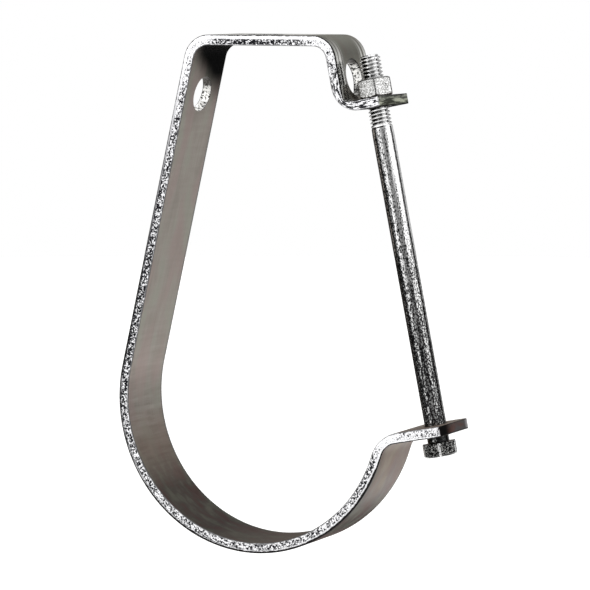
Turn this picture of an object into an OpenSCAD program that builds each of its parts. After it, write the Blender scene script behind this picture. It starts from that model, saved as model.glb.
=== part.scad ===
// Pipe hanger bent from one flat steel strip, closed on its open side by a long bolt and nut.
// X runs across the loop towards the bolt, Y along the pipe, Z up.
// The origin is the centre of the bowl that carries the pipe.

/* [Strip] */
// Width of the strip, along the pipe
strip_w = 31.75; // [24:0.05:60]
// Thickness of the strip
strip_t = 4.55; // [3:0.05:6]

/* [Bowl] */
// Inside radius of the bowl
bowl_r = 61.4; // [50:0.1:80]
// How far the bowl climbs from its lowest point towards the lower ear, in degrees
bowl_rise = 71.8; // [65:0.1:78]

/* [Long leg and flat top] */
// Lean of the long leg, in degrees from upright
leg_lean = 13; // [9:0.1:15]
// Straight length of the long leg, from the bowl to its top bend
leg_len = 142; // [120:0.5:165]
// Inside radius of the bend from the long leg into the flat top
leg_bend_in = 7.4; // [4:0.1:10]
// Inside radius of the bend from the flat top into the short drop
drop_bend_in = 6.3; // [4:0.1:10]

/* [Short drop and ears] */
// Lean of the bolt and of the short drop beside it, in degrees from upright
bolt_lean = 11.4; // [9:0.1:14]
// Height of the short drop, from its top bend down to the upper ear's seat
drop_len = 20.2; // [19.4:0.1:32]
// Inside radius of the tight bend from the short drop into the upper ear
upper_bend_in = 2.2; // [1:0.1:4]
// How much rounder that bend is outside than an even thickness would make it
upper_bend_extra = 4.75; // [0.5:0.05:6]
// Straight between the bowl and the bend into the lower ear
lower_flat = 0.5; // [0.3:0.1:4]
// Inside radius of the bend from the bowl into the lower ear, under the ear
lower_bend_in = 7.6; // [4:0.1:10]
// How much rounder that bend is outside than an even thickness would make it
lower_bend_extra = 3.85; // [0.5:0.05:6]
// Lower ear from its bend to the bolt's axis
lower_ear_len = 14; // [11:0.1:30]
// Upper ear past the bolt's axis
upper_ear_end = 8; // [7.5:0.1:16]
// Lower ear past the bolt's axis
lower_ear_end = 8.6; // [7.5:0.1:16]

/* [Holes in the strip] */
// Diameter of the hole for the hanging rod, in the flat top
rod_hole_d = 15.9; // [8:0.1:17]
// Diameter of the hole for a wall screw, in the long leg
leg_hole_d = 15.9; // [8:0.1:17]
// Centre of that hole, down the leg from its top bend
leg_hole_down = 16.8; // [12:0.1:40]
// Diameter of the hole in the short drop
drop_hole_d = 15.9; // [8:0.1:16.5]
// Flat wall left between that hole and the tight bend under it
drop_hole_gap = 0.45; // [0.2:0.05:1.2]
// Radial clearance of the bolt in the ears' holes
ear_clear = 0.6; // [0.3:0.05:1]

/* [Bolt] */
// Diameter of the bolt's plain shank
shank_d = 9.525; // [8:0.005:10]
// Diameter over the bolt's thread
thread_d = 9.35; // [7.8:0.05:9.5]
// Length of the thread, back from the bolt's end
thread_len = 34; // [26:0.5:60]
// Length of the bevel on the bolt's end
tip_bevel = 0.9; // [0.3:0.1:1.5]
// Thickness of the bolt's head
head_h = 5.95; // [4:0.05:9]
// Thread left showing above the nut
end_out = 10.2; // [2:0.1:16]
// Gap between the lower ear and the bolt's head, before the nut is tightened
head_gap = 3.2; // [0.5:0.1:8]
// Angle of the head's corners about the bolt, in degrees
head_corner = -7; // [-30:1:30]

/* [Nut] */
// Width across the flats of the nut and of the bolt's head
hex_af = 14.29; // [13.4:0.01:15.4]
// Thickness of the nut
nut_h = 8.33; // [6:0.01:10]
// Diameter of the round face left by the bevels of the nut and the head
bearing_d = 12.7; // [11.5:0.05:13]
// Radial clearance between the bolt's thread and the nut's bore
thread_clear = 0.05; // [0.02:0.01:0.08]
// Size of the bevel at each end of the nut's bore
bore_bevel = 0.6; // [0.2:0.05:0.8]
// Angle of the nut's corners about the bolt, in degrees
nut_corner = -5; // [-30:1:30]
// Least clearance between the short drop and the nut's corners as they turn
wall_clear = 0.4; // [0.3:0.05:2]

/* [Hidden] */
$fn = 128;

// Gap that keeps the nut's face just clear of the ear that it sits on
seat_clear = 0.02;
// Least flat left round the nut's face, at the tight bend beside it
seat_rim = 0.1;
// Slope of the bevel on a hexagon's corners, in degrees
hex_bevel = 30;
// How much a bend thins the strip, on each face
bend_thin = 0.002;
// How far a drill runs past the strip, on each side
drill_over = 3;

// Straight stretch that a bend of this turn takes on each side of its inside radius
function bend_run(extra, turn) = extra * tan(turn / 2);

// From the row's X and Z to a frame turned by the bolt's lean: along the ears, then along the bolt.
// The ears, the short drop and the bolt are square to each other in it.
function in_bolt_frame(p) = [
    p.x * cos(bolt_lean) + p.y * sin(bolt_lean),
    p.y * cos(bolt_lean) - p.x * sin(bolt_lean)
];

// Long leg: unit vector out of its outer face, and the one up along it
leg_out = [-cos(leg_lean), sin(leg_lean)];
leg_up = [sin(leg_lean), cos(leg_lean)];
leg_foot = bowl_r * leg_out;
leg_bend = (bowl_r - leg_bend_in) * leg_out + leg_len * leg_up;
top_under = leg_bend.y + leg_bend_in;

// Lower ear: its bend starts where the bowl ends, and the bolt stands at lower_ear_len from it
lower_run = bend_run(lower_bend_extra, bowl_rise - bolt_lean);
lower_bend = (bowl_r + strip_t + lower_bend_in) * [sin(bowl_rise), -cos(bowl_rise)]
    + (lower_flat + lower_run) * [cos(bowl_rise), sin(bowl_rise)];
lower_bend_at = in_bolt_frame(lower_bend).x;
lower_face = in_bolt_frame(lower_bend).y + lower_bend_in;

// Bolt, and the short drop behind it: the nut's corners clear the wall as they turn, and its face
// lies on the flat of the ear
hex_r = hex_af / 2 / cos(30);
bolt_at = lower_bend_at + lower_ear_len;
bolt_off = max(hex_r + wall_clear, bearing_d / 2 + upper_bend_in + seat_rim);
wall_at = bolt_at - bolt_off;
drop_bend_z = top_under - drop_bend_in;
drop_bend = [
    (wall_at - strip_t - drop_bend_in - drop_bend_z * sin(bolt_lean)) / cos(bolt_lean),
    drop_bend_z
];
top_len = drop_bend.x - leg_bend.x;
seat_at = in_bolt_frame(drop_bend).y - drop_len;
upper_run = bend_run(upper_bend_extra, 90);

// Heights along the bolt
head_face = lower_face - head_gap;
bolt_end = seat_at + seat_clear + nut_h + end_out;
ear_hole_d = shank_d + 2 * ear_clear;

// A pie slice about the origin, from the +Y direction turning right by the given angle
module sector(r, turn) {
    difference() {
        circle(r);
        translate([-2 * r, -2 * r]) square([2 * r, 4 * r]);
        rotate(-turn) translate([0, -2 * r]) square([2 * r, 4 * r]);
    }
}

// The strip is laid as a walk. Each step starts at its origin, heads along +X with the strip on its
// left from y = 0 to strip_t, and hands its children the place where it ends.
module straight(len) {
    square([len, strip_t]);
    translate([len, 0]) children();
}

// A bend to the right round the face at y = 0. Its outside is rounder than its inside by extra, as
// metal that thins in a tight cold bend.
module bend(r_in, turn, extra = 0) {
    mid = r_in + extra;
    run = bend_run(extra, turn);
    translate([0, -mid]) {
        difference() {
            sector(mid + strip_t - bend_thin, turn);
            translate([run, extra]) circle(r_in + bend_thin);
            if (run > 0) {
                translate([0, -mid]) square([run, 2 * mid]);
                rotate(-turn) translate([-run, -mid]) square([run, 2 * mid]);
            }
        }
        rotate(-turn) translate([0, mid]) children();
    }
}

// Takes the walk over to the strip's other face, so that its next bend goes the other way
module other_face() {
    translate([0, strip_t]) mirror([0, 1]) children();
}

// Side outline of the strip, as two walks from the bowl's lowest point: up the long leg and over to
// the upper ear's end, and up to the lower ear's end
module strip_outline() {
    translate([0, -bowl_r]) {
        rotate(180)
            bend(bowl_r, 90 + leg_lean)
            straight(leg_len) bend(leg_bend_in, 90 - leg_lean)
            straight(top_len) bend(drop_bend_in, 90 - bolt_lean)
            straight(drop_len - upper_bend_in - upper_run)
            other_face() bend(upper_bend_in, 90, upper_bend_extra)
            straight(bolt_off + upper_ear_end - upper_bend_in - upper_run);
        mirror([0, 1])
            bend(bowl_r, bowl_rise)
            straight(lower_flat)
            other_face() bend(lower_bend_in, bowl_rise - bolt_lean, lower_bend_extra)
            straight(lower_ear_len + lower_ear_end - lower_run);
    }
}

// Stands its child in the frame turned by the bolt's lean, with its X and Z there
module at_bolt_frame(x, z) {
    rotate([0, -bolt_lean, 0]) translate([x, 0, z]) children();
}

// A drill through the strip along +Z, for a face at z = 0 on either side of it
module drill(d) {
    reach = strip_t + drill_over;
    translate([0, 0, -reach]) cylinder(h = 2 * reach, d = d);
}

// Turned shape that bevels a hexagon of height h at its top and, if both, at its base
module hex_turning(h, both) {
    wide = hex_r + drill_over;
    rise = (wide - bearing_d / 2) * tan(hex_bevel);
    base = both ? [[0, 0], [bearing_d / 2, 0], [wide, rise]] : [[0, 0], [wide, 0]];
    rotate_extrude() polygon(concat(base, [[wide, h - rise], [bearing_d / 2, h], [0, h]]));
}

// Hexagon of height h with bevelled corners, one corner at the given angle
module hex_block(h, corner, both) {
    intersection() {
        rotate(corner) cylinder(h = h, r = hex_r, $fn = 6);
        hex_turning(h, both);
    }
}

// The one bent strip, with its holes
module hanger_strap() {
    leg_hole = leg_foot + (leg_len - leg_hole_down) * leg_up;
    color("silver") difference() {
        rotate([90, 0, 0]) linear_extrude(strip_w, center = true) strip_outline();
        translate([0, 0, top_under]) drill(rod_hole_d);
        translate([leg_hole.x, 0, leg_hole.y]) rotate([0, leg_lean - 90, 0]) drill(leg_hole_d);
        at_bolt_frame(wall_at, seat_at + upper_bend_in + drop_hole_gap + drop_hole_d / 2)
            rotate([0, 90, 0]) drill(drop_hole_d);
        at_bolt_frame(bolt_at, seat_at) drill(ear_hole_d);
        at_bolt_frame(bolt_at, lower_face) drill(ear_hole_d);
    }
}

// The long bolt: head under the lower ear, end above the nut
module clamp_bolt() {
    thread_at = bolt_end - thread_len;
    color("gray") {
        at_bolt_frame(bolt_at, head_face) mirror([0, 0, 1]) hex_block(head_h, head_corner, false);
        at_bolt_frame(bolt_at, head_face) cylinder(h = thread_at - head_face, d = shank_d);
        at_bolt_frame(bolt_at, thread_at) cylinder(h = thread_len - tip_bevel, d = thread_d);
        at_bolt_frame(bolt_at, bolt_end - tip_bevel)
            cylinder(h = tip_bevel, d1 = thread_d, d2 = thread_d - 2 * tip_bevel);
    }
}

// The nut that sits on the upper ear
module hex_nut() {
    bore_r = thread_d / 2 + thread_clear;
    mouth_r = bore_r + bore_bevel + drill_over;
    color("lightgray") at_bolt_frame(bolt_at, seat_at + seat_clear) difference() {
        hex_block(nut_h, nut_corner, true);
        rotate_extrude() polygon([
            [0, -drill_over], [mouth_r, -drill_over], [bore_r, bore_bevel],
            [bore_r, nut_h - bore_bevel], [mouth_r, nut_h + drill_over], [0, nut_h + drill_over]
        ]);
    }
}

hanger_strap();
clamp_bolt();
hex_nut();
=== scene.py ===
import math
import bmesh
import bpy
from mathutils import Matrix, Vector


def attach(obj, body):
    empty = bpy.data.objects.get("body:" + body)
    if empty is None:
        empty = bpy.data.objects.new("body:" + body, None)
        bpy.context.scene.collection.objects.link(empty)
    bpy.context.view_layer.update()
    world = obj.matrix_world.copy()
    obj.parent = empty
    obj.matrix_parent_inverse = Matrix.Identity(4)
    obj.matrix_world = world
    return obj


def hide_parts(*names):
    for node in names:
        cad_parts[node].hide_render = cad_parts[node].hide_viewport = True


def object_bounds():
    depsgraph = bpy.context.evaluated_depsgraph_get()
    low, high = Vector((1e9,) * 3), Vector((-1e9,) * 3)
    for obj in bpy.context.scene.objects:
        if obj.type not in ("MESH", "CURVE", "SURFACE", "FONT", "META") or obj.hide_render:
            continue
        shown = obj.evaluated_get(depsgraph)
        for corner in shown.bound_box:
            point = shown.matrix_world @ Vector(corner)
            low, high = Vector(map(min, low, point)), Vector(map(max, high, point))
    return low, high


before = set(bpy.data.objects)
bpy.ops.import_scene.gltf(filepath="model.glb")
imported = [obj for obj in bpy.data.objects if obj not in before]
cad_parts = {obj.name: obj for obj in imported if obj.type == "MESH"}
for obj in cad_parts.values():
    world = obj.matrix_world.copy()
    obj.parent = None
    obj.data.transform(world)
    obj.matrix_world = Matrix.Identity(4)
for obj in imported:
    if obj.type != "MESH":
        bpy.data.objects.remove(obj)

cadBox = [list(corner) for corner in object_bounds()]
mm = 0.001
print("frame loaded")

# Camera

camera = {
    "azimuth": 26.064, "elevation": 5.671, "distance": 1.45858, "target": (0.01413, 0.0, 0.04793),
    "focalPixels": 3305.7, "imagePixels": 590, "sensor": 36.0,
}


def addCamera():
    az, el = math.radians(camera["azimuth"]), math.radians(camera["elevation"])
    back = Vector((math.sin(az) * math.cos(el), -math.cos(az) * math.cos(el), math.sin(el)))
    right = Vector((math.cos(az), math.sin(az), 0))
    data = bpy.data.cameras.new("camera")
    data.sensor_fit = "HORIZONTAL"
    data.sensor_width = camera["sensor"]
    data.lens = camera["sensor"] * camera["focalPixels"] / camera["imagePixels"]
    data.clip_start, data.clip_end = 0.05, 50
    obj = bpy.data.objects.new("camera", data)
    turn = Matrix((right, back.cross(right), back)).transposed().to_4x4()
    obj.matrix_world = Matrix.Translation(Vector(camera["target"]) + back * camera["distance"]) @ turn
    bpy.context.scene.collection.objects.link(obj)
    bpy.context.scene.camera = obj


addCamera()
print("camera set")


# Shader maths

class Val:
    # a shader value that takes Python's operators; numbers mix in freely
    def __init__(self, mat, sock):
        self.mat, self.sock = mat, sock

    def maths(self, kind, *others):
        return self.mat.node("ShaderNodeMath", {"operation": kind}, self, *others)

    def __add__(self, other):
        return self.maths("ADD", other)

    def __sub__(self, other):
        return self.maths("SUBTRACT", other)

    def __mul__(self, other):
        return self.maths("MULTIPLY", other)

    def __truediv__(self, other):
        return self.maths("DIVIDE", other)

    def __rsub__(self, other):
        return self.mat.node("ShaderNodeMath", {"operation": "SUBTRACT"}, other, self)

    __radd__ = __add__
    __rmul__ = __mul__

    def size(self):
        return self.maths("ABSOLUTE")

    def wave(self):
        return self.maths("SINE")

    def root(self):
        return self.maths("SQRT")

    def least(self, other):
        return self.maths("MINIMUM", other)

    def most(self, other):
        return self.maths("MAXIMUM", other)

    def turn(self, other):
        # degrees round from the second value's direction towards this one's
        return self.maths("ARCTAN2", other) * (180 / math.pi)

    def step(self, low, high, start=0.0, end=1.0):
        # smooth step from start to end as the value goes from low to high
        smooth = {"interpolation_type": "SMOOTHSTEP"}
        return self.mat.node("ShaderNodeMapRange", smooth, self, low, high, start, end)

    def part(self, axis):
        # one of a vector's three parts
        split = self.mat.node("ShaderNodeSeparateXYZ", {}, self, out=None)
        return Val(self.mat, split.outputs["XYZ".index(axis)])


class Finish:
    # one material or world; node() adds any node: its settings first, then its sockets in order
    def __init__(self, holder):
        holder.use_nodes = True
        self.material, self.tree = holder, holder.node_tree
        self.tree.nodes.clear()

    def node(self, kind, settings, *values, out=0, **named):
        made = self.tree.nodes.new(kind)
        for key, value in settings.items():
            if key == "stops":
                self.setStops(made.color_ramp, value)
            else:
                setattr(made, key, value)
        for index, value in enumerate(values):
            self.plug(made.inputs[index], value)
        for key, value in named.items():
            self.plug(made.inputs[key], value)
        return made if out is None else Val(self, made.outputs[out])

    def setStops(self, ramp, stops):
        while len(ramp.elements) < len(stops):
            ramp.elements.new(1.0)
        for element, (at, level) in zip(ramp.elements, stops):
            element.position = at
            element.color = (level, level, level, 1.0)

    def ramp(self, value, low, high, stops):
        # levels at values between low and high, in order
        shares = [((at - low) / (high - low), level) for at, level in stops]
        return self.node("ShaderNodeValToRGB", {"stops": shares}, (value - low) / (high - low))

    def plug(self, socket, value):
        if isinstance(value, Val):
            self.tree.links.new(value.sock, socket)
        elif value is not None:
            socket.default_value = value

    def place(self):
        # the piece's own coordinates, in millimetres
        made = self.node("ShaderNodeTexCoord", {}, out=3)
        return self.node("ShaderNodeVectorMath", {"operation": "SCALE"}, made, Scale=1000.0)

    def strip(self):
        # millimetres along the strip, and share of its thickness from the inside face
        made = self.node("ShaderNodeUVMap", {"uv_map": "strip"})
        return made.part("X"), made.part("Y")

    def vector(self, x, y, z):
        return self.node("ShaderNodeCombineXYZ", {}, x, y, z)

    def grain(self, vector, scale, detail, rough):
        # soft noise, a half on average
        return self.node("ShaderNodeTexNoise", {}, vector, Scale=scale, Detail=detail, Roughness=rough)

    def blend(self, share, first, second):
        # first colour to second colour
        made = self.node("ShaderNodeMix", {"data_type": "RGBA"}, out=None)
        for index, value in ((0, share), (6, first), (7, second)):
            self.plug(made.inputs[index], value)
        return Val(self, made.outputs[2])

    def bump(self, height, strength, distance):
        return self.node("ShaderNodeBump", {}, Strength=strength, Distance=distance, Height=height)

    def metal(self, **sockets):
        shader = self.node("ShaderNodeBsdfPrincipled", {}, out=None)
        for key, value in sockets.items():
            self.plug(shader.inputs[key.replace("_", " ")], value)
        end = self.tree.nodes.new("ShaderNodeOutputMaterial")
        self.tree.links.new(shader.outputs[0], end.inputs[0])
        return self.material


def newFinish(name):
    return Finish(bpy.data.materials.new(name))


def tint(red, green, blue):
    # a colour as it shows on screen, 0 to 255, in the linear numbers that a shader takes
    level = [value / 255 for value in (red, green, blue)]
    return tuple(v / 12.92 if v <= 0.04045 else ((v + 0.055) / 1.055) ** 2.4 for v in level) + (1.0,)


# Sizes in millimetres and degrees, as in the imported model

strip = {
    # the flat strip and the line that it is bent along
    "width": 31.75, "thick": 4.55, "bowlRadius": 61.4, "bowlRise": 71.8, "legLean": 13.0, "legLength": 142.0,
    "legBend": 7.4, "dropBend": 6.3, "boltLean": 11.4, "dropLength": 20.2, "upperBend": 2.2,
    "upperExtra": 4.75, "upperEnd": 8.0, "lowerFlat": 0.5, "lowerBend": 7.6, "lowerExtra": 3.85,
    "lowerEar": 14.0, "lowerEnd": 8.6,
    # punched holes, with the round where the punch went in and the burr where it came out
    "hole": 15.9, "legHoleDown": 16.8, "dropHoleGap": 0.45, "earHole": 10.725, "rollover": 0.35, "burr": 0.1,
    "punchPast": 2.0, "punchSplits": 96, "rolloverSplits": 5, "burrSplits": 3,
    # rounds of the long edges and of the ears' near and far corners, and how far from an end rows are cut
    "edgeRound": 0.3, "cornerRounds": (0.5, 2.0),
    "endSteps": (0.0, 0.04, 0.1, 0.18, 0.3, 0.5, 0.8, 1.2, 1.6, 2.0),
    # how finely it is divided: millimetres on a straight, degrees in wide and tight bends
    "straightStep": 5.0, "wideStep": 1.9, "tightStep": 4.5, "wideFrom": 30.0,
    "roundSplits": 4, "flatSplits": 5,
}
bolt = {
    "shank": 9.525, "neckRound": 0.5, "headGap": 3.2, "endOut": 10.2, "shankSplits": 20, "neckSplits": 5,
    # thread: its sizes, then the small cone that leads to it and the shape of its turns and its tip
    "thread": 9.35, "threadLength": 34.0, "pitch": 1.5875, "threadDepth": 0.95, "runOut": 2.4,
    "coneLow": 0.4, "coneHigh": 0.1, "coneOver": 0.04, "threadFrom": 0.2,
    "rootShare": 0.14, "flankShare": 0.72, "flankStraight": 0.7, "flankRound": 0.3,
    "tipBevel": 1.25, "tipLand": 0.1, "tipRound": ((0.06, 0.03), (0.2, 0.0)),
    # hexagons
    "headHeight": 5.95, "acrossFlats": 14.29, "bearing": 12.7, "bevel": 30.0, "headCorner": -7.0,
    "edgeRound": 0.14, "angles": 120, "stepsPerTurn": 12,
}
nut = {
    "height": 8.33, "seat": 0.02, "corner": -5.0, "boreBevel": 0.6, "boreRadius": 4.725, "mouthRound": 0.04,
    "crestRadius": 3.98, "threadClear": 0.1,
    # room between it and the short drop
    "wallClear": 0.4, "rim": 0.1,
}


def unit(angle):
    return Vector((math.cos(math.radians(angle)), math.sin(math.radians(angle))))


# Places worked out from the sizes: points in the plane across the strip, as (x, z)
lean = strip["boltLean"]
boltAcross, boltUp = unit(lean), unit(lean + 90)
rise = unit(strip["bowlRise"])
lowerRun = strip["lowerExtra"] * math.tan(math.radians((strip["bowlRise"] - lean) / 2))
lowerCentre = Vector((rise.y, -rise.x)) * (strip["bowlRadius"] + strip["thick"] + strip["lowerBend"]) \
    + rise * (strip["lowerFlat"] + lowerRun)
lowerFace = lowerCentre.dot(boltUp) + strip["lowerBend"]
boltAt = lowerCentre.dot(boltAcross) + strip["lowerEar"]
hexRadius = bolt["acrossFlats"] / 2 / math.cos(math.radians(30))
boltOff = max(hexRadius + nut["wallClear"], bolt["bearing"] / 2 + strip["upperBend"] + nut["rim"])
wallAt = boltAt - boltOff
legOut, legUp = unit(180 - strip["legLean"]), unit(90 - strip["legLean"])
legCentre = legOut * (strip["bowlRadius"] - strip["legBend"]) + legUp * strip["legLength"]
topUnder = legCentre.y + strip["legBend"]
dropZ = topUnder - strip["dropBend"]
dropX = (wallAt - strip["thick"] - strip["dropBend"] - dropZ * boltAcross.y) / boltAcross.x
seatAt = Vector((dropX, dropZ)).dot(boltUp) - strip["dropLength"]
headFace = lowerFace - bolt["headGap"]
boltEnd = seatAt + nut["seat"] + nut["height"] + bolt["endOut"]
halfThick, holeRadius = strip["thick"] / 2, strip["hole"] / 2
legHole = legOut * (strip["bowlRadius"] + halfThick) + legUp * (strip["legLength"] - strip["legHoleDown"])
dropHoleUp = seatAt + strip["upperBend"] + strip["dropHoleGap"] + holeRadius
dropHole = boltAcross * (wallAt - halfThick) + boltUp * dropHoleUp


def solid(p, y=0.0):
    # a point of that plane in metres, y millimetres along the pipe
    return Vector((p.x * mm, y * mm, p.y * mm))


def boltPoint(angle, radius, height):
    # a point about the bolt's axis, in metres
    across = boltAt + radius * math.cos(angle)
    return solid(boltAcross * across + boltUp * height, radius * math.sin(angle))


def quarterTurn(parts):
    # angles from nothing to a right angle, in equal parts
    return [math.radians(90 * i / parts) for i in range(parts + 1)]


def addMesh(name, points, faces, marks=None):
    # marks are the strip coordinates of the points, which the finishes read
    mesh = bpy.data.meshes.new(name)
    mesh.from_pydata([tuple(p) for p in points], [], faces)
    if marks:
        layer = mesh.uv_layers.new(name="strip")
        for loop in mesh.loops:
            layer.data[loop.index].uv = marks[loop.vertex_index]
    edit = bmesh.new()
    edit.from_mesh(mesh)
    bmesh.ops.remove_doubles(edit, verts=edit.verts, dist=1e-7)
    bmesh.ops.recalc_face_normals(edit, faces=edit.faces)
    edit.to_mesh(mesh)
    edit.free()
    mesh.polygons.foreach_set("use_smooth", [True] * len(mesh.polygons))
    obj = bpy.data.objects.new(name, mesh)
    bpy.context.scene.collection.objects.link(obj)
    return obj


def joinRings(faces, first, second, count):
    for i in range(count):
        j = (i + 1) % count
        faces.append((first + i, first + j, second + j, second + i))


def applyModifiers(obj):
    bpy.context.view_layer.update()
    made = bpy.data.meshes.new_from_object(obj.evaluated_get(bpy.context.evaluated_depsgraph_get()))
    old = obj.data
    obj.modifiers.clear()
    obj.data = made
    bpy.data.meshes.remove(old)


smoothing = {"sharpFrom": 38, "weight": 60}


def smoothFaces(obj):
    # smooth shading up to sharp corners, large faces kept flat
    obj.data.polygons.foreach_set("use_smooth", [True] * len(obj.data.polygons))
    obj.data.set_sharp_from_angle(angle=math.radians(smoothing["sharpFrom"]))
    weigh = obj.modifiers.new("weigh", "WEIGHTED_NORMAL")
    weigh.keep_sharp, weigh.weight = True, smoothing["weight"]
    applyModifiers(obj)


# Strap

def bendRows(start, heading, out, radius, turn, extra):
    # points on both faces round a bend; out points from its inside face to its outside face
    middle, run = radius + extra, extra * math.tan(math.radians(turn / 2))
    rowTurn = strip["wideStep"] if radius > strip["wideFrom"] else strip["tightStep"]
    count = max(6, round(turn / rowTurn))
    centre = start - out * middle
    rows = []
    for i in range(1, count + 1):
        angle = math.radians(turn * i / count)
        near = min(angle, math.radians(turn) - angle)
        reach = middle / math.cos(near)
        if reach * math.sin(near) > run:
            # past the flat, the inside face is an arc about (run, extra)
            along = run * math.sin(near) + extra * math.cos(near)
            reach = along + math.sqrt(max(along ** 2 - run ** 2 - extra ** 2 + radius ** 2, 0))
        ray = heading * math.sin(angle) + out * math.cos(angle)
        rows.append((centre + ray * reach, centre + ray * (middle + strip["thick"])))
    return rows


def walkStrip(start, heading, out, plan):
    # rows of (inner point, outer point) along straights and bends, and where each stretch ends;
    # "in" bends round the inner face
    rows, ends = [], {}
    inner = start
    for name, kind, *sizes in plan:
        if kind == "straight":
            count = max(1, round(sizes[0] / strip["straightStep"]))
            for i in range(1, count + 1):
                p = inner + heading * sizes[0] * i / count
                rows.append((p, p + out * strip["thick"]))
        else:
            side = out if kind == "in" else -out
            made = bendRows(inner if kind == "in" else inner + out * strip["thick"], heading, side, *sizes)
            rows += made if kind == "in" else [(b, a) for a, b in made]
            c, s = math.cos(math.radians(sizes[1])), math.sin(math.radians(sizes[1]))
            heading, side = heading * c - side * s, heading * s + side * c
            out = side if kind == "in" else -side
        inner = rows[-1][0]
        ends[name] = rows[-1]
    return rows, ends


def stripRows():
    # from the lower ear's end round the bowl and over the top to the upper ear's end; each stretch is
    # named for what starts where it ends, and the finishes tell places along the strip by these names
    low, down = Vector((0, -strip["bowlRadius"])), Vector((0, -1))
    upperFlat = strip["upperBend"] + strip["upperExtra"]
    leg, legEnds = walkStrip(low, Vector((-1, 0)), down, [
        ("leg", "in", strip["bowlRadius"], 90 + strip["legLean"], 0),
        ("legTop", "straight", strip["legLength"]),
        ("flat", "in", strip["legBend"], 90 - strip["legLean"], 0),
        ("flatEnd", "straight", dropX - legCentre.x),
        ("drop", "in", strip["dropBend"], 90 - lean, 0),
        ("dropFoot", "straight", strip["dropLength"] - upperFlat),
        ("ear", "out", strip["upperBend"], 90, strip["upperExtra"]),
        ("last", "straight", boltOff + strip["upperEnd"] - upperFlat),
    ])
    ear, earEnds = walkStrip(low, Vector((1, 0)), down, [
        ("bowlTop", "in", strip["bowlRadius"], strip["bowlRise"], 0),
        ("bendTop", "straight", strip["lowerFlat"]),
        ("bendLow", "out", strip["lowerBend"], strip["bowlRise"] - lean, strip["lowerExtra"]),
        ("end", "straight", strip["lowerEar"] + strip["lowerEnd"] - lowerRun),
    ])
    middle = (low, low + down * strip["thick"])
    return ear[::-1] + [middle] + leg, {**legEnds, **earEnds, "low": middle}


def stripSection(near, far, inset):
    # the strip's section as (depth from the inner face, y), its long edges rounded
    half, thick = (strip["width"] - near - far) / 2, strip["thick"]
    middle = (near - far) / 2
    r = strip["edgeRound"]
    turns, parts = quarterTurn(strip["roundSplits"]), strip["flatSplits"]
    flats = [1 - 2 * i / parts for i in range(1, parts)]
    ring = [(r - r * math.cos(a), half - r + r * math.sin(a)) for a in turns]
    ring += [(thick / 2 - (thick / 2 - r) * f, half) for f in flats]
    ring += [(thick - r + r * math.sin(a), half - r + r * math.cos(a)) for a in turns]
    ring += [(thick, (half - r) * f) for f in flats]
    ring += [(thick - r + r * math.cos(a), r - half - r * math.sin(a)) for a in turns]
    ring += [(thick / 2 + (thick / 2 - r) * f, -half) for f in flats]
    ring += [(r - r * math.sin(a), r - half - r * math.cos(a)) for a in turns]
    ring += [(0.0, (r - half) * f) for f in flats]
    return [(inset + d * (thick - 2 * inset) / thick, y + middle) for d, y in ring]


def endRows(rows):
    # close rows near an end, with how far each is from it
    length = (rows[1][0] - rows[0][0]).length
    made = []
    for s in strip["endSteps"]:
        share = s / length
        made.append(((rows[0][0].lerp(rows[1][0], share), rows[0][1].lerp(rows[1][1], share)), s))
    return made


stripAt = {}        # where each stretch of the strip ends, in millimetres from the lower ear's end


def addStrap():
    rows, ends = stripRows()
    edge, corners = strip["edgeRound"], strip["cornerRounds"]
    marked = endRows(rows) + [(row, max(corners)) for row in rows[1:-1]] + endRows(rows[::-1])[::-1]
    points, faces, marks = [], [], []
    along, last = 0.0, None
    for (inner, outer), s in marked:
        inset = edge - math.sqrt(edge ** 2 - (edge - s) ** 2) if s < edge else 0.0
        near, far = [r - math.sqrt(r ** 2 - (r - s) ** 2) if s < r else 0.0 for r in corners]
        middle = (inner + outer) / 2
        along += (middle - last).length if last else 0.0
        last = middle
        across = (outer - inner).normalized()
        deep = (outer - inner).length / strip["thick"]
        ring = stripSection(near, far, inset)
        count = len(ring)
        points += [solid(inner + across * d * deep, y) for d, y in ring]
        marks += [(along, d / strip["thick"]) for d, y in ring]
        for name, row in ends.items():
            if (row[0] - inner).length < 1e-6:
                stripAt[name] = along
    for k in range(len(marked) - 1):
        joinRings(faces, k * count, (k + 1) * count, count)
    faces.append(tuple(range(count)))
    faces.append(tuple((len(marked) - 1) * count + i for i in range(count)))
    strap = addMesh("bentStrap", points, faces, marks)
    print("strip length %.1f mm" % along, {name: round(at, 1) for name, at in stripAt.items()})
    return strap


def addPunch(radius, at, axis):
    # a cutter that rounds the rim where it enters, at the outer face, and a little where it leaves
    side = axis.orthogonal().normalized()
    other = axis.cross(side)
    half, splits, past = halfThick, strip["punchSplits"], strip["punchPast"]
    enter, leave = strip["rollover"], strip["burr"]
    profile = [(-half - past, radius + enter)]
    for a in quarterTurn(strip["rolloverSplits"]):
        profile.append((-half + enter * (1 - math.cos(a)), radius + enter * (1 - math.sin(a))))
    for a in quarterTurn(strip["burrSplits"]):
        profile.append((half - leave * math.cos(a), radius + leave * (1 - math.cos(math.pi / 2 - a))))
    profile.append((half + past, radius + leave))
    points, faces, marks = [], [], []
    for h, r in profile:
        for i in range(splits):
            a = 2 * math.pi * i / splits
            points.append(at + (axis * h + (side * math.cos(a) + other * math.sin(a)) * r) * mm)
            marks.append((i / splits, min(max(0.5 - h / (2 * half), 0), 1)))
    for k in range(len(profile) - 1):
        joinRings(faces, k * splits, (k + 1) * splits, splits)
    faces.append(tuple(range(splits)))
    faces.append(tuple((len(profile) - 1) * splits + i for i in range(splits)))
    return addMesh("punch", points, faces, marks)


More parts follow.
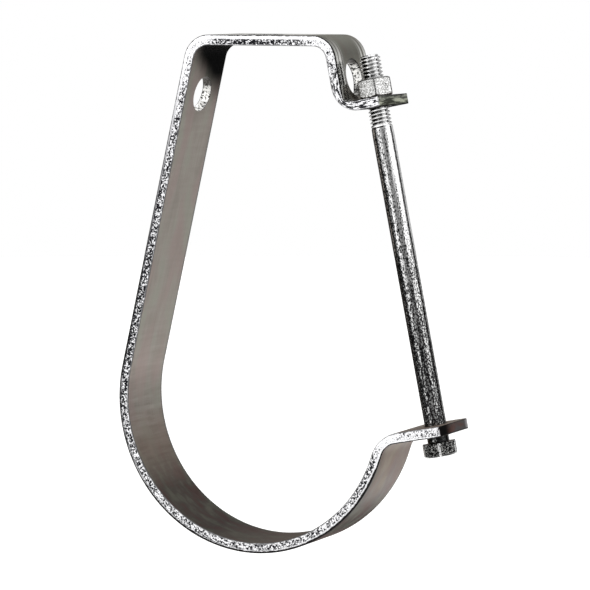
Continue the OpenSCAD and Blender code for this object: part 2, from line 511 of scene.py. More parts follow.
def punchHoles(strap, faceFinish, wallFinish):
    # each hole's radius, its middle, and the way that its punch came
    earHole, line = strip["earHole"] / 2, boltAcross * boltAt
    holes = [
        (holeRadius, Vector((0, topUnder + halfThick)), Vector((0, -1))),
        (holeRadius, legHole, -legOut),
        (holeRadius, dropHole, -boltAcross),
        (earHole, line + boltUp * (seatAt - halfThick), boltUp),
        (earHole, line + boltUp * (lowerFace + halfThick), boltUp),
    ]
    strap.data.materials.append(faceFinish)
    for radius, at, axis in holes:
        punch = addPunch(radius, solid(at), Vector((axis.x, 0, axis.y)))
        punch.data.materials.append(wallFinish)
        cut = strap.modifiers.new("cut", "BOOLEAN")
        cut.operation, cut.solver, cut.object, cut.material_mode = "DIFFERENCE", "EXACT", punch, "TRANSFER"
        applyModifiers(strap)
        bpy.data.objects.remove(punch)
    smoothFaces(strap)


# Bolt and nut

def hexRings(height, corner, both):
    # rings of (angle, radius, z) up a bevelled hexagon, its corners and edges slightly rounded
    bearing, slope, edge = bolt["bearing"] / 2, math.tan(math.radians(bolt["bevel"])), bolt["edgeRound"]
    angles = [math.radians(corner + 360 * i / bolt["angles"]) for i in range(bolt["angles"])]

    def side(a, inset=0.0):
        off = (math.degrees(a) - corner) % 60 - 30
        return min((bolt["acrossFlats"] / 2 - inset) / math.cos(math.radians(off)), hexRadius - inset - edge)

    def bevelled(level):
        # from the flat face out over the bevel and the corner, level being its height from that face
        return [
            [(a, bearing - edge, level(0.0)) for a in angles],
            [(a, bearing, level(edge * 0.15)) for a in angles],
        ] + [
            [(a, side(a, inset), level(deep + (side(a, inset) - bearing) * slope)) for a in angles]
            for inset, deep in ((edge, edge * 0.15), (edge * 0.3, edge * 0.5), (0.0, edge * 1.2))
        ]

    if both:
        base = bevelled(lambda z: z)
    else:
        rounded = ((edge, 0.0), (edge * 0.3, edge * 0.3), (0, edge))
        base = [[(a, side(a, inset), z) for a in angles] for inset, z in rounded]
    return base + bevelled(lambda z: height - z)[::-1]


def threadProfile(share):
    # height of the thread over one pitch, 0 at its root and 1 at its crest, with its flanks eased
    off = abs(share % 1.0 - 0.5) * 2
    t = min(max((off - bolt["rootShare"]) / bolt["flankShare"], 0.0), 1.0)
    return bolt["flankStraight"] * t + bolt["flankRound"] * t * t * (3 - 2 * t)


def addThread(points, faces, start, low, high, radius):
    # a grid along the thread's helix between two heights, which closes to a plain ring at each;
    # radius takes a height and the share of the thread's profile there
    pitch, splits, steps = bolt["pitch"], bolt["angles"], bolt["stepsPerTurn"]
    rows = range(-steps, math.ceil((high - low) / pitch * steps) + 1)
    base, wide = len(points), splits + 1
    for j in rows:
        for i in range(wide):
            turn = i / splits
            angle = start + 2 * math.pi * turn
            z = min(max(low + pitch * (j / steps + turn), low), high)
            points.append(boltPoint(angle, radius(z, (z - boltEnd) / pitch - angle / (2 * math.pi)), z))
    for k in range(len(rows) - 1):
        for i in range(splits):
            a = base + k * wide + i
            faces.append((a, a + 1, a + wide + 1, a + wide))


def addRings(points, faces, rings):
    # joins rings of ready points, and returns where the last one starts
    base = len(points)
    for ring in rings:
        points += ring
    count = len(rings[0])
    for k in range(len(rings) - 1):
        joinRings(faces, base + k * count, base + (k + 1) * count, count)
    return base + (len(rings) - 1) * count


def addBolt():
    points, faces = [], []
    count, start = bolt["angles"], math.radians(bolt["headCorner"])
    shank, major, neck = bolt["shank"] / 2, bolt["thread"] / 2, bolt["neckRound"]
    threadAt, bevel = boltEnd - bolt["threadLength"], bolt["tipBevel"]
    low, high = threadAt + bolt["threadFrom"], boltEnd - bolt["tipLand"]

    def ring(radius, height):
        return [boltPoint(start + 2 * math.pi * i / count, radius, height) for i in range(count)]

    head = hexRings(bolt["headHeight"], bolt["headCorner"], False)
    rings = [[boltPoint(a, r, headFace - z) for a, r, z in level] for level in head[::-1]]
    for a in quarterTurn(bolt["neckSplits"]):
        rings.append(ring(shank + neck * (1 - math.sin(a)), headFace + neck * (1 - math.cos(a))))
    foot, top, parts = headFace + neck, threadAt - bolt["coneLow"], bolt["shankSplits"]
    rings += [ring(shank, foot + (top - foot) * i / parts) for i in range(1, parts + 1)]
    rings += [ring(major + bolt["coneOver"], threadAt - bolt["coneHigh"]), ring(major, low)]
    addRings(points, faces, rings)
    faces.append(tuple(range(count)))

    def radius(z, share):
        runOut = min(max((z - low - bolt["pitch"]) / bolt["runOut"], 0.0), 1.0)
        cut = bolt["threadDepth"] * (1 - threadProfile(share)) * runOut
        return min(major - cut, major - max(z - (boltEnd - bevel), 0.0))

    addThread(points, faces, start, low, high, radius)
    # the thread's end has its own slight round and its flat face
    ended = (high - boltEnd) / bolt["pitch"] - start / (2 * math.pi)
    tip = [[boltPoint(start + 2 * math.pi * i / count, radius(high, ended - i / count), high)
            for i in range(count)]]
    tip += [ring(major - bevel - inset, boltEnd - down) for inset, down in bolt["tipRound"]]
    last = addRings(points, faces, tip)
    faces.append(tuple(last + i for i in range(count)))
    return addMesh("longBolt", points, faces)


def addNut():
    points, faces = [], []
    count, start = bolt["angles"], math.radians(nut["corner"])
    foot = seatAt + nut["seat"]
    height, mouth, rim = nut["height"], nut["boreRadius"] + nut["boreBevel"], nut["mouthRound"]
    major = bolt["thread"] / 2

    def ring(radius, z):
        return [boltPoint(start + 2 * math.pi * i / count, radius, foot + z) for i in range(count)]

    sides = [[boltPoint(a, r, foot + z) for a, r, z in level]
             for level in hexRings(height, nut["corner"], True)]
    low, high = foot + rim, foot + height - rim
    addRings(points, faces, [ring(mouth - rim, rim), ring(mouth + rim, 0.0)] + sides
             + [ring(mouth + rim, height), ring(mouth - rim, height - rim)])

    def radius(z, share):
        bore = major - bolt["threadDepth"] * (1 - threadProfile(share)) + nut["threadClear"]
        near = min(z - foot, foot + height - z)
        return max(bore, nut["crestRadius"], mouth - near)

    addThread(points, faces, start, low, high, radius)
    return addMesh("hexNut", points, faces)


# Finishes

stripLook = {
    # broad faces: their steel, the tints laid over it, the painted shade of the bowl and the black painted
    # shade under the flat top
    "faceDark": tint(140, 133, 125), "faceLight": tint(175, 168, 160), "faceGreen": tint(150, 153, 140),
    "facePink": tint(164, 145, 141), "faceWarm": tint(168, 140, 118), "farEdge": tint(118, 121, 122),
    # scored is white for the painted highlight on the scored marks
    "flatTop": tint(214, 213, 209), "scored": tint(255, 255, 250), "deep": tint(50, 45, 40),
    "deepGreen": tint(56, 60, 50), "deepRed": tint(66, 46, 42), "cornerShade": tint(2, 2, 2),
    # cut edges, and the painted shade lines along their corners
    "edge": tint(244, 244, 246), "pit": tint(34, 34, 38), "greyBand": tint(112, 111, 114),
    "line": tint(30, 29, 29),
    # the upper sawn end, then the lower one
    "sawnDark": tint(70, 72, 64), "sawnLight": tint(184, 187, 172), "rustGrey": tint(84, 80, 80),
    "rustRed": tint(96, 66, 58), "darkEndCorner": tint(8, 7, 7), "bare": tint(190, 188, 190),
    # how far the black painted shade in the corner reaches across the strip, and the steps of the scored
    # lines, in millimetres
    "cornerReach": 42.0, "scoredWide": (8.0, 5.5), "bump": 0.2,
}

# Noise on the broad faces: grain per millimetre along the strip and across it, a number that sets each
# apart from the others, detail and roughness
faceNoise = {
    "streaks": (0.035, 1.5, 0.0, 4.0, 0.6), "bands": (0.42, 0.03, 5.0, 3.0, 0.6),
    "patches": (0.045, 0.11, 9.0, 2.0, 0.5), "blush": (0.03, 0.08, 30.0, 1.0, 0.5),
    "mottle": (0.09, 0.16, 20.0, 2.0, 0.55),
}

# Levels that change along the strip: a place by its short name, millimetres past it, and the level there
stripTones = {
    "bands": [
        ("bowlTop", 0, 0.0), ("low", 0, 0.35), ("leg", -60, 0.9), ("leg", -25, 0.9), ("leg", -5, 0.2),
        ("leg", 30, 0.0)],
    # painted shade: how dark the inside, outside and rear faces are, and the black corner under the flat top
    "insideDark": [
        ("bowlTop", -5, 0.1), ("bowlTop", 14, 0.5), ("low", -12, 0.5), ("low", 4, 0.68), ("low", 24, 0.92),
        ("leg", -62, 0.88), ("leg", -44, 0.45), ("leg", -24, 0.0), ("leg", 10, 0.2), ("leg", 60, 0.12),
        ("legTop", -30, 0.0), ("legTop", -8, 0.2), ("flat", -3, 0.6), ("flat", 4, 0.9), ("flatEnd", 0, 0.9),
        ("drop", 0, 0.5)],
    "outsideDark": [
        ("end", 0, 0.5), ("bowlTop", 0, 0.6), ("bowlTop", 14, 0.64), ("low", -58, 0.82), ("low", -42, 0.98),
        ("low", 0, 0.7), ("leg", -30, 0.3), ("flat", 0, 0.1), ("flatEnd", -8, 0.15), ("flatEnd", 0, 0.42),
        ("drop", -2, 0.55), ("drop", 6, 0.2), ("last", 0, 0.1)],
    "rearDark": [("flatEnd", -4, 0.0), ("flatEnd", 4, 0.5), ("drop", 6, 0.6), ("dropFoot", 0, 0.0)],
    "cornerReach": [("legTop", -26, 0.0), ("legTop", -6, 0.45), ("flat", -2, 1.0)],
    "cornerBlack": [("legTop", -25, 0.0), ("legTop", -8, 1.0)],
    "underSoot": [("low", -60, 0.0), ("low", -40, 0.8), ("low", 0, 0.8), ("leg", -30, 0.0)],
    # where tints are laid over the faces
    "dropGreen": [("flatEnd", -12, 0.0), ("flatEnd", 2, 0.8), ("drop", 4, 0.5), ("ear", 0, 0.0)],
    "outsideWarm": [("end", 0, 0.4), ("bowlTop", 0, 0.6), ("low", 0, 0.6), ("leg", -40, 0.0)],
    "insideWarm": [("low", 0, 0.3), ("leg", -40, 0.35), ("leg", -20, 0.0)],
    "topPale": [("flat", -6, 0.0), ("flat", 2, 1.0), ("flatEnd", -10, 1.0), ("flatEnd", -1, 0.0)],
    "dropPale": [("drop", -3, 0.0), ("drop", 5, 0.85), ("last", 0, 0.85)],
    "outsidePink": [("end", 0, 0.6), ("low", -30, 0.6), ("low", 0, 0.0)],
    "scored": [("flatEnd", 4, 0.0), ("drop", 4, 1.0), ("last", 0, 1.0)],
    # cut edges: share of pits, how far out the pitted band goes, share of drawn streaks, and the rest
    "pits": [
        ("end", 0, 0.5), ("bendLow", 0, 0.34), ("bendLow", 5, 0.1), ("bowlTop", -7, 0.16),
        ("bowlTop", -1, 0.56), ("low", -40, 0.5), ("low", 0, 0.54), ("low", 40, 0.5), ("leg", -20, 0.54),
        ("leg", 10, 0.62), ("leg", 60, 0.58), ("legTop", -30, 0.56), ("legTop", -6, 0.4), ("flat", -2, 0.15),
        ("flat", 4, 0.62), ("flatEnd", -8, 0.58), ("flatEnd", 4, 0.3), ("drop", 4, 0.48), ("ear", 0, 0.54),
        ("last", 0, 0.46)],
    "bandTop": [
        ("end", 0, 0.85), ("bowlTop", 0, 0.66), ("low", 0, 0.74), ("leg", -60, 0.72), ("leg", -30, 0.86),
        ("leg", 10, 0.97), ("legTop", -10, 0.7), ("flat", 0, 0.62), ("flatEnd", 0, 0.62), ("drop", 0, 0.9),
        ("last", 0, 0.9)],
    "drawn": [
        ("bowlTop", 10, 0.1), ("low", -30, 0.2), ("low", 0, 0.28), ("leg", -60, 0.35), ("leg", -20, 0.1),
        ("flat", -4, 0.0), ("flat", 6, 0.2), ("flatEnd", -4, 0.2), ("flatEnd", 4, 0.1), ("drop", 0, 0.3),
        ("dropFoot", 0, 0.75), ("last", 0, 0.9)],
    "dashes": [("low", 0, 0.3), ("low", 20, 0.9), ("leg", -35, 0.8), ("leg", -15, 0.0)],
    "greyBand": [
        ("low", 10, 0.0), ("leg", -50, 0.2), ("leg", -20, 0.75), ("leg", 10, 1.0), ("leg", 90, 0.8),
        ("legTop", -25, 0.4), ("legTop", 0, 0.0)],
    # width of the painted shade line along the outer corner, in millimetres
    "lineWide": [
        ("end", 0, 0.4), ("bowlTop", 0, 0.5), ("bowlTop", 8, 0.9), ("low", -10, 0.9), ("low", 30, 1.0),
        ("leg", -50, 0.8), ("leg", -20, 0.6), ("leg", 60, 0.5), ("legTop", -20, 0.36), ("flat", 0, 0.34),
        ("flatEnd", 0, 0.34), ("drop", 0, 0.45), ("last", 0, 0.45)],
}


def alongRamp(m, along, name):
    # the level that one list of stripTones gives at a place along the strip
    stops = [(stripAt[spot] + past, level) for spot, past, level in stripTones[name]]
    return m.ramp(along, 0.0, stripAt["last"], stops)


def rolledFaces(m, along, depth, y):
    # the strip's two broad faces: their colour, their height for the bump, where they carry painted shade and
    # soot, and where they are scored
    look, half = stripLook, strip["width"] / 2

    def tone(name):
        return alongRamp(m, along, name)

    def noise(name):
        fineAlong, fineAcross, apart, detail, rough = faceNoise[name]
        return m.grain(m.vector(along * fineAlong, y * fineAcross, depth + apart), 1.0, detail, rough)

    inside = 1 - depth.step(0.3, 0.7)
    outside = 1 - inside
    streaks, bands, patches, mottle = noise("streaks"), noise("bands"), noise("patches"), noise("mottle")
    shade = streaks * 0.3 + patches * 0.5 + bands * 0.2 + (bands - 0.5) * tone("bands")
    face = m.blend(shade.step(0.2, 0.8), look["faceDark"], look["faceLight"])
    tints = [
        (patches.step(0.48, 0.66) * 0.5, "faceGreen"),
        (noise("blush").step(0.46, 0.62) * 0.5, "facePink"),
        (tone("dropGreen") * outside, "faceGreen"),
        (tone("outsideWarm") * patches.step(0.35, 0.6) * outside, "faceWarm"),
        (tone("insideWarm") * inside, "faceWarm"),
        (tone("topPale") * outside, "flatTop"),
        (tone("dropPale") * outside * (1 - (y + half).step(5.0, 11.0)), "flatTop"),
        (tone("outsidePink") * outside * y.step(0.0, 12.0), "facePink"),
        ((y - half + 1.9).step(0.0, 1.2) * inside * 0.6, "farEdge"),
    ]
    for share, name in tints:
        face = m.blend(share, face, look[name])

    # painted shade: dark down in the bowl and under the flat top, and outside also at the near brim and at
    # the rear
    outDark = tone("outsideDark")
    brim = (1 - (y + half).step(1.0, 7.0)) * 0.5
    rear = (y + (patches - 0.5) * 8.0 + (streaks - 0.5) * 8.0).step(5.0, 12.0) * tone("rearDark")
    outDark = (outDark + brim * (1 - outDark)).most(rear) * outside
    dark = (tone("insideDark") * inside).most(outDark)
    # the painted shade's colours, mottled through dark, green and red
    deep = m.blend(mottle.step(0.5, 0.62), look["deep"], look["deepGreen"])
    deep = m.blend(1 - mottle.step(0.38, 0.5), deep, look["deepRed"])
    face = m.blend(dark * (1 - (mottle - 0.5) * 0.5), face, deep)
    # painted shade: a thin dark line along the inside face's far edge
    face = m.blend((y - half + 0.8).step(0.0, 0.3) * inside * 0.55, face, look["line"])
    # painted shade: black in the corner under the flat top, from the far edge towards the near one
    corner = tone("cornerReach") * look["cornerReach"] + y
    corner = (corner + patches * 8.0).step(10.0, 31.0) * tone("cornerBlack") * inside
    face = m.blend(corner, face, look["cornerShade"])

    # scored where the tool drew over the strip, beside the short drop's cut edges, with painted highlight
    # and painted shade along the marks
    jitter = m.grain(m.vector(along * 0.035, y * 0.5, 40.0), 1.0, 3.0, 0.6)
    waves = ((half - y.size() - 0.8 + (jitter - 0.5) * 2.2) * 2.0).wave()
    scored = waves * 0.5 + (jitter - 0.5) * 0.9 + 0.62
    scored = scored + (1 - (half + y - 1.7).size().step(0.5, 1.2)) * 0.5
    wide, narrow = look["scoredWide"]
    near = tone("scored") * outside * y.size().step(half - wide, half - narrow)
    face = m.blend(scored.step(0.3, 0.6) * near, face, look["scored"])
    face = m.blend((1 - scored.step(0.0, 0.14)) * near, face, look["line"])
    return face, streaks * 0.5 + scored * near, corner.most(tone("underSoot") * outside), near


def shearedEdges(m, place, along, depth, y):
    # the strip's cut edges, pitted where the metal tore and plain where the tool burnished it:
    # their colour and their pits
    look = stripLook
    torn = m.grain(place, 1.3, 2.0, 0.55)
    crumb = m.grain(place, 2.2, 2.0, 0.6)
    drawn = m.grain(m.vector(along * 0.3, depth * strip["thick"] * 1.5, y * 0.2), 1.0, 3.0, 0.65)
    drawnShare = alongRamp(m, along, "drawn")
    level = (torn * 0.75 + crumb * 0.25) * (1 - drawnShare) + drawn * drawnShare
    level = level + (alongRamp(m, along, "pits") - 0.5) * 0.42
    inBand = depth.step(0.04, 0.14) * (1 - (depth - alongRamp(m, along, "bandTop")).step(-0.06, 0.06))
    pits = level.step(0.485, 0.53) * (inBand * 0.92 + 0.08)
    # thin dark worms over the pitted band, and a dashed line near the outer corner
    wriggle = m.grain(place, 1.0, 1.0, 0.5)
    worms = (1 - (wriggle - 0.5).size().step(0.014, 0.034)) * inBand
    pits = pits.most(worms * 0.75)
    dashed = 1 - (depth - 0.76 + (crumb - 0.5) * 0.2).size().step(0.03, 0.07)
    dashed = dashed * alongRamp(m, along, "dashes")
    pits = pits.most(dashed * crumb.step(0.42, 0.5))
    grey = depth.step(0.66, 0.8) * alongRamp(m, along, "greyBand")
    edge = m.blend(grey, look["edge"], look["greyBand"])
    return m.blend(pits, edge, look["pit"]), pits


def sawnEnds(m, along, depth, y):
    # the strip's two ends, fine lines on the upper one, rust on the lower one and black at its near
    # corner: their colour, where they are, and where they are darkened
    look, half = stripLook, strip["width"] / 2
    lower = 1 - along.step(40.0, 60.0)
    sawn = m.grain(m.vector(y * 0.07, depth * 2.6, 60.0), 1.0, 3.0, 0.65)
    cut = m.blend(sawn.step(0.42, 0.58), look["sawnDark"], look["sawnLight"])
    rusty = (m.grain(m.vector(y * 0.12, depth * 1.4, 70.0), 1.0, 2.0, 0.6) - y * 0.012).step(0.35, 0.62)
    rust = m.blend(rusty, look["rustGrey"], look["rustRed"])
    ended = 1 - along.least(stripAt["last"] - along).step(0.08, 0.2)
    darkEndCorner = (1 - (y + half - 6.0).step(0.0, 9.0)) * lower * ended
    rust = m.blend(darkEndCorner, rust, look["darkEndCorner"])
    rust = m.blend((y - half + 5.0).step(0.0, 3.0) * 0.9, rust, look["bare"])
    return m.blend(lower, cut, rust), ended, darkEndCorner


def stripFaceFinish():
    m = newFinish("stripSteel")
    place = m.place()
    along, depth = m.strip()
    y = place.part("Y")
    thick = strip["thick"]
    edgeAway = strip["width"] / 2 - y.size()            # millimetres in from the nearer cut edge
    sheared = 1 - edgeAway.step(0.12, 0.34)
    face, faceHeight, shadeAndSoot, scored = rolledFaces(m, along, depth, y)
    edge, pits = shearedEdges(m, place, along, depth, y)
    end, ended, darkEndCorner = sawnEnds(m, along, depth, y)
    colour = m.blend(sheared, face, edge)
    colour = m.blend(ended, colour, end)

    # painted shade: dark lines along the corners of the cut edges and of the sawn ends
    broken = (m.grain(place, 0.6, 2.0, 0.6) - 0.5) * 0.8
    outLine = ((1 - depth) * thick).most(edgeAway) - alongRamp(m, along, "lineWide") + broken
    inLine = (depth * thick).most(edgeAway) - 0.36 + broken
    lines = (1 - outLine.step(-0.1, 0.16)).most((1 - inLine.step(-0.08, 0.12)) * 0.85)
    endLine = (1 - ((1 - depth) * thick).step(0.4, 0.75)).most((1 - (depth * thick).step(0.3, 0.6)) * 0.7)
    colour = m.blend(lines.most(endLine * ended), colour, stripLook["line"])
    rough = (pits * 0.3 + 0.3) * sheared
    rough = rough + (shadeAndSoot.most(darkEndCorner) * 0.5 + 0.45 - scored * 0.3) * (1 - sheared)
    height = faceHeight * (1 - sheared) - pits * sheared * 1.5
    bump = m.bump(height, stripLook["bump"], 0.0002)
    return m.metal(Base_Color=colour, Metallic=1.0, Roughness=rough, Normal=bump)


wallLook = {
    "dark": tint(44, 44, 42), "light": tint(240, 239, 236), "upperShade": tint(44, 38, 34), "bump": 0.4,
    # the painted shade starts this far above the middle of the leg's hole, and further up in the drop's
    "shadeFrom": (2.2, 3.6), "dropShadeUp": 3.3,
}


def holeWallFinish():
    # walls of the punched holes: torn metal, with painted shade in their upper part and painted shade lines
    # on their rims
    m = newFinish("punchedWall")
    look = wallLook
    around, depth = m.strip()
    place = m.place()
    torn = m.grain(m.vector(around * 40.0, depth * 1.5, 0.0), 1.0, 3.0, 0.6)
    speck = m.grain(place, 1.1, 2.0, 0.6)
    shade = torn * 0.5 + speck * 0.5
    rims = (1 - depth.step(0.05, 0.12)).most(depth.step(0.88, 0.95))
    colour = m.blend(shade.step(0.42, 0.54), look["dark"], look["light"])
    x, z = place.part("X"), place.part("Z")
    # left of the middle is the leg's hole, right of it the drop's, and the rod's hole gets none of the
    # painted shade
    above = z - x.step(-5.0, 5.0, legHole.y, dropHole.y + look["dropShadeUp"]) + (speck - 0.5) * 5.0
    upperShaded = above.step(*look["shadeFrom"]) * (x.size() - 20).step(0.0, 1.0)
    colour = m.blend(upperShaded * 0.9, colour, look["upperShade"])
    # painted shade: dark lines along the rims
    colour = m.blend(rims * 0.8, colour, stripLook["line"])
    return m.metal(Base_Color=colour, Metallic=1.0, Roughness=shade.step(0.3, 0.7, 0.3, 0.5),
                   Normal=m.bump(shade, look["bump"], 0.0002))


def boltPlace(m):
    # places on the bolt or nut in millimetres: across from its axis, along Y, up it, and out from its axis
    place = m.place()
    x, y, z = place.part("X"), place.part("Y"), place.part("Z")
    across = x * boltAcross.x + z * boltAcross.y - boltAt
    return across, y, z * boltUp.y + x * boltUp.x, (across * across + y * y).root()


def cornerShare(m, across, y, corner, wide):
    # 1 on the corners of a hexagon, wide in degrees, 0 on its flats
    off = (y.turn(across) - corner + 720.0).maths("MODULO", 60.0) - 30.0
    return off.size().step(30.0 - wide * 1.3, 30.0 - wide * 0.7)


boltLook = {
    "bright": tint(240, 240, 240), "dullLight": tint(205, 205, 204), "dark": tint(26, 27, 26),
    "darkGrey": tint(58, 58, 60), "crestGrey": tint(120, 120, 118), "specks": 1.8, "bump": 0.3,
    # which way the shank's painted highlight faces, the camera's right, and where towards it the painted
    # highlight starts and the painted shade on the other side ends
    "paintedLightSide": (0.9, 0.44), "paintedLitFrom": (0.9, 1.7), "paintedShadeTo": (-3.4, -2.2),
    # how dull and dark it is, with painted shadow in the gap under the lower ear: millimetres up from the
    # head's face, then millimetres down from the tip, and level
    "dullFromHead": [(-6, 0.7), (4, 0.86), (8, 0.7), (30, 0.66), (70, 0.56), (100, 0.47)],
    "dullFromTip": [(38, 0.42), (32, 0.3), (0, 0.2)],
    # head: its dark colour, its pale scratches, and the painted highlight on its corners
    "headDark": tint(18, 18, 18), "scratch": tint(176, 176, 174), "corner": tint(235, 235, 235),
    "cornerWide": 3.4,
}


def boltFinish():
    m = newFinish("drawnSteel")
    look = boltLook
    across, y, up, radial = boltPlace(m)
    drawn = m.grain(m.vector(across * 1.6, y * 1.6, up * 0.05), 1.0, 2.0, 0.5)
    specks = m.grain(m.vector(across, y, up * 0.6), look["specks"], 2.0, 0.65)
    fine = m.grain(m.vector(across, y, up * 0.7), 2.3, 1.0, 0.5)
    shade = drawn * 0.25 + specks * 0.55 + fine * 0.2

    # shank: painted highlight on the side towards the camera's right, painted shade on the other, and duller
    # and darker towards the head
    side = across * look["paintedLightSide"][0] + y * look["paintedLightSide"][1]
    paintedLit = (side + (drawn - 0.5) * 3.0).step(*look["paintedLitFrom"])
    paintedShaded = 1 - side.step(*look["paintedShadeTo"])
    stops = [(headFace + past, level) for past, level in look["dullFromHead"]]
    stops += [(boltEnd - short, level) for short, level in look["dullFromTip"]]
    dull = m.ramp(up, headFace - 8, boltEnd, stops)
    # fewer specks under the painted highlight
    smooth = paintedLit * (1 - dull.step(0.43, 0.56) * 0.8)
    level = (shade - 0.5) * (1 - smooth * 0.25) + (0.5 - dull) * 0.3
    level = level + smooth * 0.045 - paintedShaded * 0.035 + (1 - paintedLit) * 0.008
    light = m.blend(dull.step(0.4, 0.75), look["bright"], look["dullLight"])
    shadow = m.blend(dull.step(0.36, 0.6).most(1 - paintedLit) * 0.85, look["darkGrey"], look["dark"])
    colour = m.blend(level.step(-0.05, 0.05), shadow, light)

    # thread: white crests and dark roots as painted shade, the crests painted darker too on the side away
    # from the camera's right
    start, radius, deep = boltEnd - bolt["threadLength"], bolt["thread"] / 2, bolt["threadDepth"]
    threaded = up.step(start + 1.0, start + 2.5)
    root = 1 - radial.step(radius - deep * 0.95, radius - deep * 0.6)
    rootDark = root * (specks.step(0.42, 0.56) * 0.6 + 0.25) * (1 - side.step(0.0, 3.0) * 0.6)
    sideDark = (root * 0.25 + specks - side.step(-4.6, 0.6) * 0.3).step(0.44, 0.54)
    sideDark = sideDark * (1 - side.step(-1.5, 1.5))
    crest = m.blend((specks * 0.6 + fine * 0.4).step(0.34, 0.44), look["crestGrey"], look["bright"])
    colour = m.blend(threaded, colour, m.blend(rootDark.most(sideDark), crest, look["dark"]))

    # head: dark, with pale scratches and painted highlights on its corners
    head = 1 - up.step(headFace - 0.1, headFace + 0.1)
    wriggle = m.grain(m.place(), 0.9, 1.0, 0.5)
    scratches = 1 - (wriggle - 0.5).size().step(0.008, 0.028)
    scratches = scratches.most((specks * 0.5 + fine * 0.5).step(0.58, 0.66) * 0.5)
    headColour = m.blend(scratches, look["headDark"], look["scratch"])
    corners = cornerShare(m, across, y, bolt["headCorner"], look["cornerWide"])
    headColour = m.blend(corners * fine.step(0.36, 0.5), headColour, look["corner"])
    colour = m.blend(head, colour, headColour)
    rough = shade.step(0.35, 0.65, 0.16, 0.09) * (1 - head) + head * 0.4
    height = (specks * 0.7 + fine * 0.3) * (1 - threaded * 0.8) * (1.4 - smooth * 0.6 - head * 0.7)
    bump = m.bump(height, look["bump"], 0.0003)
    return m.metal(Base_Color=colour, Metallic=1.0, Roughness=rough, Normal=bump)


nutLook = {
    "dark": tint(170, 170, 168), "light": tint(242, 242, 242), "line": tint(60, 60, 58),
    "rim": tint(48, 48, 46), "rimsFrom": (5.6, 6.1), "cornerWide": 2.6, "bump": 0.35,
}


def nutFinish():
    m = newFinish("brightNut")
    look = nutLook
    across, y, up, radial = boltPlace(m)
    place = m.place()
    grains = m.grain(place, 1.5, 2.0, 0.6)
    wriggle = m.grain(place, 1.1, 1.0, 0.5)
    lines = 1 - (wriggle - 0.5).size().step(0.014, 0.04)
    shade = grains.step(0.44, 0.6)
    colour = m.blend(shade, look["dark"], look["light"])
    colour = m.blend(lines * 0.85, colour, look["line"])
    # painted shade: dark outlines on its bevels and corners, but not in its bore
    low = seatAt + nut["seat"]
    high = low + nut["height"]
    broken = (grains - 0.5) * 1.6
    rims = (1 - (up - low + broken).step(0.3, 0.7)).most((up - high + broken).step(-0.75, -0.35))
    rims = rims.most(cornerShare(m, across, y, nut["corner"], look["cornerWide"]) * 0.7)
    rims = rims * radial.step(*look["rimsFrom"])
    colour = m.blend(rims * 0.8, colour, look["rim"])
    return m.metal(Base_Color=colour, Metallic=1.0, Roughness=shade * 0.12 + 0.24,
                   Normal=m.bump(grains - lines * 0.3, look["bump"], 0.0002))


# Make the pieces

strap = addStrap()
punchHoles(strap, stripFaceFinish(), holeWallFinish())
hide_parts("hanger_strap")
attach(strap, "strap")
print("strap made: %d faces" % len(strap.data.polygons))

longBolt = addBolt()
longBolt.data.materials.append(boltFinish())
smoothFaces(longBolt)
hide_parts("clamp_bolt")
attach(longBolt, "bolt")
print("bolt made: %d faces" % len(longBolt.data.polygons))

hexNut = addNut()
hexNut.data.materials.append(nutFinish())
smoothFaces(hexNut)
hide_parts("hex_nut")
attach(hexNut, "nut")
print("nut made: %d faces" % len(hexNut.data.polygons))


# Floor, backdrop and lights

studio = {
    "paper": (0.86, 0.86, 0.85, 1), "paperGlow": 0.5, "white": (1, 1, 1, 1), "worldFill": 0.75,
    "floorDrop": 0.22, "floorRadius": 4.0, "floorSplits": 96,
    "lamps": [
        # name, place, size, watts
        ("keyLamp", (-0.75, -1.15, 0.75), 0.9, 7.0),
        ("fillLamp", (1.3, -0.6, 0.5), 0.8, 2.5),
        ("topLamp", (0.1, 0.3, 1.3), 0.9, 4.0),
    ],
    # panels round the part that only its metal reflects: degrees to the right of the camera, and level
    "tentRadius": 1.0, "tentGap": 0.002, "tentTop": 0.75, "tentSplits": 120, "panelMost": 2.0,
    "panels": [
        (-180, 0.16), (-165, 0.05), (-84, 0.05), (-70, 0.2), (-63, 1.35), (-34, 1.35), (-24, 0.35), (26, 0.3),
        (36, 1.5), (80, 1.6), (88, 0.3), (93, 0.03), (114, 0.03), (121, 0.6), (128, 0.85), (138, 0.65),
        (150, 0.4), (170, 0.2), (180, 0.16),
    ],
}


def seenDirectly(m):
    # rays that see the background itself: the camera's, and those that metal or glass sends on
    path = m.node("ShaderNodeLightPath", {}, out=None)
    straight, mirrored, through = [Val(m, path.outputs[name]) for name in
                                   ("Is Camera Ray", "Is Glossy Ray", "Is Transmission Ray")]
    return straight.most(mirrored).most(through)


def circle(radius, splits, level):
    # points of a level circle about the origin, in metres
    turns = [2 * math.pi * i / splits for i in range(splits)]
    return [(radius * math.cos(turn), radius * math.sin(turn), level) for turn in turns]


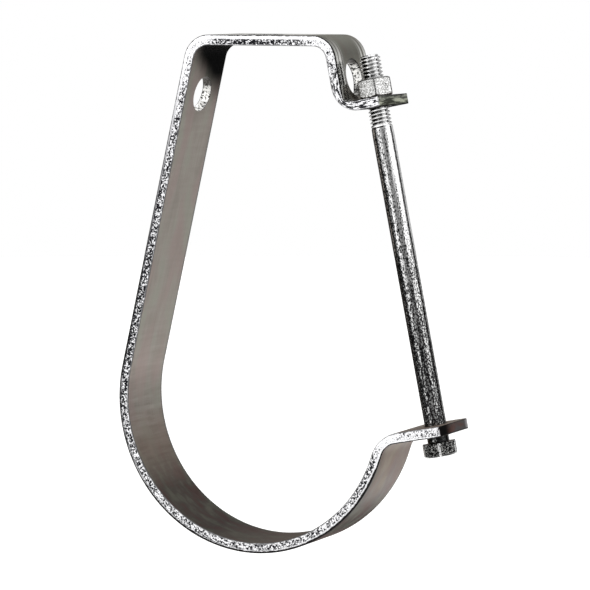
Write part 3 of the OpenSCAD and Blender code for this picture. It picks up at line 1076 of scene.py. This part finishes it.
def addFloor():
    m = newFinish("paleFloor")
    paper = m.node("ShaderNodeBsdfDiffuse", {}, studio["paper"], 1.0)
    glow = m.node("ShaderNodeEmission", {}, studio["white"], studio["paperGlow"])
    lifted = m.node("ShaderNodeAddShader", {}, paper, glow)
    mixed = m.node("ShaderNodeMixShader", {}, seenDirectly(m), paper, lifted)
    m.node("ShaderNodeOutputMaterial", {}, mixed, out=None)
    splits = studio["floorSplits"]
    points = circle(studio["floorRadius"], splits, cadBox[0][2] - studio["floorDrop"])
    floor = addMesh("floor", points, [tuple(range(splits))])
    floor.data.materials.append(m.material)


def addTent():
    m = newFinish("tentPanels")
    place = m.node("ShaderNodeTexCoord", {}, out=3)
    turn = place.part("X").turn(place.part("Y") * -1.0)
    # a ramp's levels end at 1, so they are shares of the brightest panel that there can be
    most = studio["panelMost"]
    light = m.ramp(turn, -180, 180, [(at, level / most) for at, level in studio["panels"]])
    m.node("ShaderNodeOutputMaterial", {}, m.node("ShaderNodeEmission", {}, light, most), out=None)
    splits, radius = studio["tentSplits"], studio["tentRadius"]
    low = cadBox[0][2] - studio["floorDrop"] + studio["tentGap"]
    faces = []
    joinRings(faces, 0, splits, splits)
    points = circle(radius, splits, low) + circle(radius, splits, studio["tentTop"])
    tent = addMesh("tent", points, faces)
    tent.rotation_euler.z = math.radians(camera["azimuth"])
    tent.location = (camera["target"][0], 0, 0)
    tent.data.materials.append(m.material)
    tent.visible_camera = tent.visible_diffuse = tent.visible_shadow = tent.visible_transmission = False


def addWorld():
    world = bpy.data.worlds.new("paleRoom")
    bpy.context.scene.world = world
    m = Finish(world)
    strength = seenDirectly(m).step(0.0, 1.0, studio["worldFill"], 1.0)
    sky = m.node("ShaderNodeBackground", {}, studio["white"], strength)
    m.node("ShaderNodeOutputWorld", {}, sky, out=None)


def addLamps():
    for name, place, size, watts in studio["lamps"]:
        data = bpy.data.lights.new(name, "AREA")
        data.shape, data.size, data.energy = "SQUARE", size, watts
        obj = bpy.data.objects.new(name, data)
        obj.location = place
        aim = (Vector(place) - Vector(camera["target"])).to_track_quat("Z", "Y")
        obj.rotation_euler = aim.to_euler()
        bpy.context.scene.collection.objects.link(obj)


addFloor()
addTent()
addWorld()
addLamps()
bpy.context.scene.view_settings.view_transform = "Standard"
print("floor and lights made")
